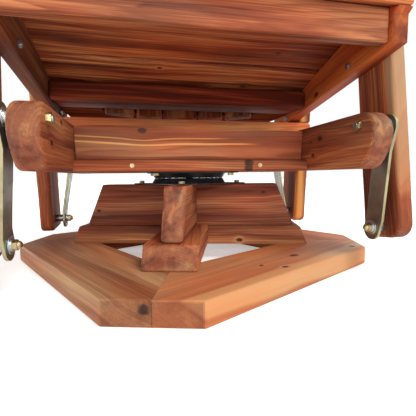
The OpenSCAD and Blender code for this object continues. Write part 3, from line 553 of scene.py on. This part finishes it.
# %% [markdown]
# Two attributes go with every board: the grain directions, since no two boards lie the same way,
# and how far a face cuts across the grain, which tells a cut end from a side.

# %% Dressing a board
boards = []

def marked(bm, name, along, flat):
    """along is the direction of the grain, and flat the direction through the board's thickness."""
    lo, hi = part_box(name)
    centre = (Vector(lo) + Vector(hi)) / 2
    ax = Vector(along).normalized()
    az = (Vector(flat) - ax * Vector(flat).dot(ax)).normalized()
    ay = az.cross(ax)
    grain = bm.verts.layers.float_vector.new("grain")
    end = bm.loops.layers.float.new("end")
    for v in bm.verts:
        p = v.co - centre
        v[grain] = (p.dot(ax), p.dot(ay), p.dot(az))
    for f in bm.faces:
        across = (abs(f.normal.dot(ax)) - 0.35) / 0.5
        for l in f.loops:
            l[end] = min(1.0, max(0.0, across))

def board(name, along, flat, width=sanded, keep=None, rim=0, tight=False, **look):
    """rim rounds a beam's outer side. The edges where keep is true are left alone, or get a fine
    groove if tight."""
    bm = copied(name)
    if rim:
        rounded(bm, outer_rim(bm), rim, 6)
    if tight:
        rounded(bm, kept_rim(bm, keep), mitre_groove, 1)
    count = eased(bm, width, keep=keep)
    marked(bm, name, along, flat)
    o = new_object(name + "_wood", bm, cedar(name + " cedar", **look))
    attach(o, body_of[name])
    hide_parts(name)
    boards.append((name, count))

def around(a):
    return (math.cos(a), math.sin(a), 0)

up, right, rear = (0, 0, 1), (1, 0, 0), (0, 1, 0)
print("materials in the CAD record:", sorted(set(slot_of.values())))

# %% [markdown]
# The base is a square ring of four boards laid flat and mitred at the corners, and it stands turned
# a little under the chair. The front right board is the pale one, with small knots.

# %% Ring
ring_looks = {
    "ring_front_right": dict(
        seed=11, bias=0.09, calm=0.36, tint=(1.0, 1.04, 1.1), sap=0.125, pith=(0.05, -0.08),
        sapwood=honey, knots=((0.0414, 0.0022, 0.0078), (-0.0308, -0.0301, 0.005),
                              (-0.0528, -0.0013, 0.004), (0.19, -0.0343, 0.006))),
    "ring_rear_right": dict(seed=12, bias=0.08, calm=0.7),
    "ring_rear_left": dict(seed=13, bias=0.03, calm=0.7),
    "ring_front_left": dict(seed=14, bias=0.035, calm=0.5, tint=(0.96, 1.28, 1.45),
                            spots=((0.248, -0.0147, 0.0061, 0.0088),)),
}
for k, (name, look) in enumerate(ring_looks.items()):
    board(name, around(base_turn + math.radians(45 + 90 * k)), up, walked_on, on_mitre, tight=True,
          ends=0.88, end_tint=(0.62, 0.50, 0.46), **look)
print("ring boards, and the edges eased on each:", boards)

# %% [markdown]
# Two beams cross on the ring, and two tapered boards on edge cross on the beams and carry the
# swivel. The one that runs to the front shows its rounded nose, with a golden streak on the cut.

# %% Crossed beams and pedestal
base_right, base_rear, base_left = (around(base_turn + k * math.pi / 2) for k in range(3))
board("cross_front_rear", base_rear, up, softened, crossing, seed=21, bias=0.01,
      tint=(1.03, 0.96, 0.95))
board("cross_side", base_left, base_rear, softened, crossing, seed=22, bias=0.035,
      knots=((-0.1112, -0.0102, 0.005),), veins=((-0.0095, 0.0013, 0.9, 0.03, 0.15),))
board("pedestal_front_rear", base_rear, base_right, nosed, crossing, seed=23, pith=(0.02, -0.04),
      sap=0.085, swirl=(-0.006, 0.013, -0.004, 0.024, 0.0036), tint=(0.95, 0.92, 0.98))
# Its bias darkens the board a little as painted shade, for the nose's shadow on its left half.
board("pedestal_side", base_left, base_rear, sanded, crossing, seed=24, bias=-0.028,
      tint=(1.0, 0.98, 1.1), knots=((-0.1644, 0.0265, 0.0035), (0.2035, -0.014, 0.004)))
print("base boards:", len(boards))

# %% [markdown]
# The swing frame's side beams carry the link bolts at their rounded noses. The right beam is dark
# and knotty. The front rail shows two straw-coloured veins that dip under a knot at its top edge.

# %% Swing frame
board("side_beam_right", rear, right, routed, rim=0.011, seed=31, bias=0.0, pith=(0.0, -0.05),
      swirl=(-0.007, -0.014, 0.010, 0.036, 0.0045),
      knots=((-0.0789, -0.0143, 0.005), (-0.1026, 0.0139, 0.006), (-0.07, 0.01, 0.003)))
board("side_beam_left", rear, right, routed, rim=0.008, seed=32, bias=-0.01, pith=(0.0, 0.05),
      tint=(0.84, 0.79, 0.80), knots=((-0.1935, -0.0057, 0.005), (-0.13, 0.03, 0.004)))
board("front_flat_board", right, up, sanded, seed=33, bias=-0.005, calm=0.85,
      tint=(1.08, 1.04, 1.0), knots=((0.0986, -0.0445, 0.006),))
board("rear_flat_board", right, up, sanded, seed=34, bias=-0.02)
board("front_rail", right, rear, sanded, seed=35, bias=0.0, calm=0.62, pith=(0.02, 0.06),
      tint=(1.14, 1.17, 1.24), knots=((-0.1024, -0.0255, 0.0065),),
      veins=((-0.013, 0.0014, 0.65, -0.3, 0.04), (-0.003, 0.0018, 0.85, -0.3, 0.10)))
board("rear_rail", right, rear, softened, seed=36, bias=-0.03)
print("boards with the swing frame:", len(boards))

# %% [markdown]
# The chair's legs lean together towards the top and have rounded feet. The right legs were sawn
# from the outside of the log, so their front edges are straw-coloured sapwood.

# %% Legs
front_leg_lean, rear_leg_lean = 7.1, -4.7

def leaning(degrees):
    return (0, math.sin(math.radians(degrees)), math.cos(math.radians(degrees)))

front_up, rear_up = leaning(front_leg_lean), leaning(rear_leg_lean)
board("front_leg_right", front_up, right, routed, seed=41, bias=-0.01, pith=(-0.05, 0.0),
      sap=0.0845, sapwood=pale_tan, taper=0.045)
board("front_leg_left", front_up, right, routed, seed=42, bias=-0.02)
board("rear_leg_right", rear_up, right, routed, seed=43, bias=0.0, calm=0.35,
      pith=(-0.03, 0.035), sap=0.0795, lean=0.3)
board("rear_leg_left", rear_up, right, routed, seed=44, bias=-0.01, tint=(1.05, 0.98, 0.85),
      knots=((-0.188, 0.040, 0.003),))
print("boards with the legs:", len(boards))

# %% [markdown]
# The stringers run back and down under the seat, and a brace, a stretcher and an apron join them.
# Most of these boards lie in the shade, and their tints and biases darken and redden them as
# painted shade.

# %% Under the seat
seat_slope = math.radians(10)
along_seat = (0, -math.cos(seat_slope), math.sin(seat_slope))
# The stringers' tints darken and redden them as painted shade.
board("stringer_right", along_seat, right, sanded, seed=48, bias=0.055, tint=(0.96, 0.50, 0.28),
      knots=((-0.0047, 0.0179, 0.006),))
board("stringer_left", along_seat, right, sanded, seed=49, bias=-0.04, tint=(0.75, 0.78, 0.80))
# The brace's tint and bias darken it as painted shade.
board("seat_brace", right, up, handled, seed=51, bias=-0.08, tint=(0.76, 0.44, 0.38), gloss=0.08)
# The stretcher's tint and bias lighten it as painted light, for the front light that falls on it.
board("rear_stretcher", right, rear, crisp, seed=52, bias=0.035, calm=0.8, tint=(1.50, 1.38, 1.12))
board("front_apron", right, rear, softened, seed=53, bias=-0.01)
print("boards with those under the seat:", len(boards))

# %% [markdown]
# The seat slats follow a curve that rises to the front and rolls over the front edge. Their
# undersides face the camera and lie in shade, and their tint darkens and reddens them as painted
# shade.

# %% Seat
slat_3_knots = ((0.1686, 0.0, 0.004),)
slat_4_knots = ((-0.0617, -0.0257, 0.004), (0.1323, 0.0213, 0.005))
for name, tilt, seed, bias, calm, knots in (
        ("seat_slat_1", -16, 61, 0.0, 1.35, ()),
        ("seat_slat_2", 8, 62, -0.02, 1.35, ()),
        ("seat_slat_3", 16.5, 63, -0.02, 1.35, slat_3_knots),
        ("seat_slat_4", 18.5, 64, -0.032, 2.0, slat_4_knots),
        ("seat_slat_rear", 0, 69, -0.03, 1.35, ())):
    t = math.radians(tilt)
    # The tint darkens and reddens the slats as painted shade.
    board(name, right, (0, math.sin(t), math.cos(t)), routed, seed=seed, bias=bias, calm=calm,
          tint=(0.99, 0.76, 0.64), knots=knots)
print("boards with the seat:", len(boards))

# %% [markdown]
# Seven slats fan out and lean back on three rails. Each slat stands in its own plane, turned a
# little towards the sitter, so the grain directions are worked out slat by slat.

# %% Back
recline = math.radians(19)
turn_step, splay_step = 7.4, 4.2
slat_bias = (-0.03, 0.02, -0.01, 0.0, -0.04, 0.01, 0.03)
for i, bias in enumerate(slat_bias):
    yaw = math.radians(turn_step * (i - 3))
    splay = math.radians(splay_step * (i - 3))
    along = Vector((math.sin(splay), math.sin(recline), math.cos(recline)))
    face = Vector((math.sin(yaw), math.cos(yaw) * math.cos(recline),
                   -math.cos(yaw) * math.sin(recline)))
    look = dict(sap=0.075, pith=(0.02, 0.045)) if i in (2, 6) else {}
    if i in (1, 4):
        look["knots"] = ((0.12 - 0.05 * i, 0.02, 0.006),)
    board(f"back_slat_{i + 1}", along, face, softened, tint=(0.92, 0.78, 0.72), gloss=0.12,
          seed=70 + i, bias=bias, **look)
print("boards with the back's slats:", len(boards))

# %% [markdown]
# Three rails hold the slats, and the arms tie them to the legs. The lowest rail lies in the shade
# behind the seat, where the camera sees it from below, so it has no sheen at all, and its tint and
# bias darken it as painted shade.

# %% Rails and arms
# The lower rail's tint and bias darken it as painted shade.
board("lower_back_rail", right, up, sanded, seed=81, bias=-0.06, tint=(0.60, 0.40, 0.33), gloss=0.0)
board("arm_rail", right, up, sanded, seed=82)
board("upper_brace", right, rear, sanded, seed=83)
board("arm_right", rear, up, handled, seed=84, knots=((0.1, 0.02, 0.007),))
board("arm_left", rear, up, handled, seed=85, bias=0.02)
board("arm_corbels", up, rear, sanded, seed=86)
print("boards dressed:", len(boards))

# %% [markdown]
# The straps and bolts are zinc plated, the nuts and lag screws are yellow zinc, and the swivel is
# black enamel on pressed steel. Plated steel is never even: it has a faint spangle and dull spots.
# The straps' cut edges shine brighter and warmer than their faces, and a painted highlight on them
# stands for that.

# %% Metal
def plated(name, light, dull, rough, scale=90, edge_highlight=None):
    g = Graph(name)
    here = g.add("TexCoord", 3)
    spangle = g.add("TexVoronoi", 1, {"Vector": here, "Scale": scale})
    cell = g.add("SeparateColor", 0, {0: spangle})
    c = g.mix(g.fade(g.noise(here, 24, 3), 0.35, 0.7), light, dull)
    c = g.mix(g.times(cell, 0.25), c, dull)
    # A painted highlight: the straps' cut edges get a brighter, warmer colour.
    if edge_highlight:
        cut = g.add("Attribute", 2, attribute_name="cut")
        c = g.mix(cut, c, g.mix(1.0, c, edge_highlight, "MULTIPLY"))
    scratch = g.noise(g.move(here, (300, 300, 20)), 1.0)
    worn = g.plus(g.times(cell, 0.4), g.times(scratch, 0.6))
    r = g.fade(worn, 0.2, 0.8, rough - 0.08, rough + 0.12)
    return g.finish(c, r, g.bump(scratch, 0.00005, 0.4), Metallic=1.0)

def enamelled(name, deep, rubbed):
    g = Graph(name)
    worn = g.noise(g.add("TexCoord", 3), 60, 4)
    return g.finish(g.mix(g.fade(worn, 0.4, 0.75), deep, rubbed),
                    g.fade(worn, 0.3, 0.7, 0.3, 0.5), g.bump(worn, 0.0001, 0.3))

zinc = plated("clear zinc", (0.52, 0.57, 0.60, 1), (0.33, 0.37, 0.40, 1), 0.36)
strap_zinc = plated("olive zinc of the straps", (0.38, 0.385, 0.32, 1), (0.25, 0.25, 0.205, 1),
                    0.44, 60, (1.40, 1.24, 0.88, 1))
# The washers and top spacers get a brighter copy of the clear zinc as painted highlight.
highlit_zinc = plated("washer zinc with painted highlight", (0.78, 0.82, 0.84, 1),
                     (0.52, 0.57, 0.60, 1), 0.32)
yellow = plated("yellow zinc", (0.72, 0.60, 0.30, 1), (0.46, 0.36, 0.20, 1), 0.34)
black = enamelled("black enamel", (0.012, 0.012, 0.014, 1), (0.035, 0.034, 0.036, 1))
print("metals:", [m.name for m in (zinc, strap_zinc, highlit_zinc, yellow, black)])

# %% [markdown]
# The links are flat straps with two soft bends, so only their arrises are rounded. Nuts and bolt
# heads are chamfered a little, as they are when they are cold forged. Behind each acorn nut sit two
# washers, which are left out of the nuts here and get below a zinc brightened as painted highlight.

# %% Plated pieces
strap_edge, forged_edge, washer_edge = 0.0007, 0.0005, 0.0004
two_washers = 0.004
washer_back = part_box("link_nuts_foot")[1][0] - two_washers
metal_of = {"zinc": zinc, "yellow_zinc": yellow, "black_steel": black}
straps = [name for name in slot_of
          if name.startswith("link_") and name.endswith(("right", "left"))]
finish_of = {name: strap_zinc for name in straps}
finish_of["link_nuts_foot"] = finish_of["link_nuts_top"] = yellow
finish_of["link_spacers_top"] = highlit_zinc
finish_of["deck_screws"] = yellow

def on_washer(f):
    """A face of the two washers behind each acorn nut. Where they touch, the normal decides."""
    middle = f.calc_center_median()
    depth = abs(middle.x) - washer_back
    return depth > 0 if abs(depth) > 1e-5 else f.normal.x * middle.x < 0

def chamfered(bm, width):
    return eased(bm, width, shortest=0.0012, sharp=28, segments=2)

def dressed(name, bm):
    """Makes the piece, with its faces that don't look sideways marked: a strap's cut edges."""
    cut = bm.loops.layers.float.new("cut")
    for f in bm.faces:
        for l in f.loops:
            l[cut] = 1.0 if abs(f.normal.x) < 0.5 else 0.0
    o = new_object(name + "_metal", bm, finish_of.get(name, metal_of[slot_of[name]]))
    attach(o, body_of[name])
    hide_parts(name)

for name, s in slot_of.items():
    if s in metal_of and name != "frame_screws":
        bm = copied(name, (lambda f: not on_washer(f)) if name == "link_nuts_foot" else None)
        width = strap_edge if name in straps else forged_edge
        print(name, "edges rounded:", chamfered(bm, width))
        dressed(name, bm)

# %% [markdown]
# The CAD model has nut and washers in one node. The washers' faces are taken from it and make a
# piece of their own, which rides with the nuts.

# %% Foot washers
bm = copied("link_nuts_foot", on_washer)
chamfered(bm, washer_edge)
washers = new_object("foot_washers", bm, highlit_zinc)
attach(washers, body_of["link_nuts_foot"])
print("faces on the foot washers:", len(washers.data.polygons))

# %% [markdown]
# The swing frame's rails are held by screws with a star-shaped recess, let in flush. Each head is a
# disc whose face is inset in steps: a rim first, then a ring that is pulled into a star and sunk.

# %% Star screw
head_deep, recess_deep = 0.0016, 0.0011
rim_part, star_part, back_part = 0.14, 0.40, 0.8

def as_star(face, seat):
    """Moves every fourth corner of a 24-sided face out and the ones half way between in."""
    for k, v in enumerate(face.verts):
        if k % 4 == 0:
            v.co += (v.co - seat) * 0.25
        elif k % 4 == 2:
            v.co -= (v.co - seat) * 0.2

def star_screw(bm, seat, out, radius, length):
    """A flush head at seat that faces out, with its shank behind it."""
    turn = out.to_track_quat("Z", "Y").to_matrix().to_4x4()
    disc = bmesh.ops.create_circle(bm, cap_ends=True, radius=radius, segments=24,
                                   matrix=Matrix.Translation(seat) @ turn)
    face = disc["verts"][0].link_faces[0]
    if face.normal.dot(out) < 0:
        bmesh.ops.reverse_faces(bm, faces=[face])
    back = bmesh.ops.extrude_face_region(bm, geom=[face])
    ring = [v for v in back["geom"] if isinstance(v, bmesh.types.BMVert)]
    bmesh.ops.translate(bm, verts=ring, vec=out * -head_deep)
    bmesh.ops.scale(bm, verts=ring, vec=(back_part, back_part, back_part),
                    space=Matrix.Translation(-(seat - out * head_deep)))
    bmesh.ops.inset_region(bm, faces=[face], thickness=radius * rim_part, depth=0.0)
    bmesh.ops.inset_region(bm, faces=[face], thickness=radius * star_part, depth=0.0)
    as_star(face, seat)
    bmesh.ops.inset_region(bm, faces=[face], thickness=0.0001, depth=-recess_deep)
    middle = seat - out * (head_deep + length / 2)
    bmesh.ops.create_cone(bm, cap_ends=True, segments=12, radius1=radius * 0.2,
                          radius2=radius * 0.5, depth=length,
                          matrix=Matrix.Translation(middle) @ turn)

print("heads", head_deep * 1000, "mm thick, recesses", recess_deep * 1000, "mm deep")

# %% [markdown]
# The screws' places are read from the CAD screws. All of them are one mesh, so it is walked from
# corner to corner to part them, and the reach of each part gives its middle and its radius.

# %% Frame screws
shank_part = 0.9

def islands(bm):
    """The separate solids of a mesh, as lists of corners."""
    left = set(bm.verts)
    while left:
        group, todo = [], [left.pop()]
        while todo:
            v = todo.pop()
            group.append(v)
            for e in v.link_edges:
                w = e.other_vert(v)
                if w in left:
                    left.remove(w)
                    todo.append(w)
        yield group

bm = copied("frame_screws")
screws = []
for group in islands(bm):
    xs, ys, zs = zip(*(v.co for v in group))
    facing = -1 if sum(ys) < 0 else 1
    seat = Vector(((min(xs) + max(xs)) / 2, min(ys) if facing < 0 else max(ys),
                   (min(zs) + max(zs)) / 2))
    radius, length = (max(xs) - min(xs)) / 2, (max(ys) - min(ys)) * shank_part
    screws.append((seat, Vector((0, facing, 0)), radius, length))
bm.free()
bm = bmesh.new()
for screw in screws:
    star_screw(bm, *screw)
bmesh.ops.recalc_face_normals(bm, faces=bm.faces)
dressed("frame_screws", bm)
print("star screws:", len(screws))
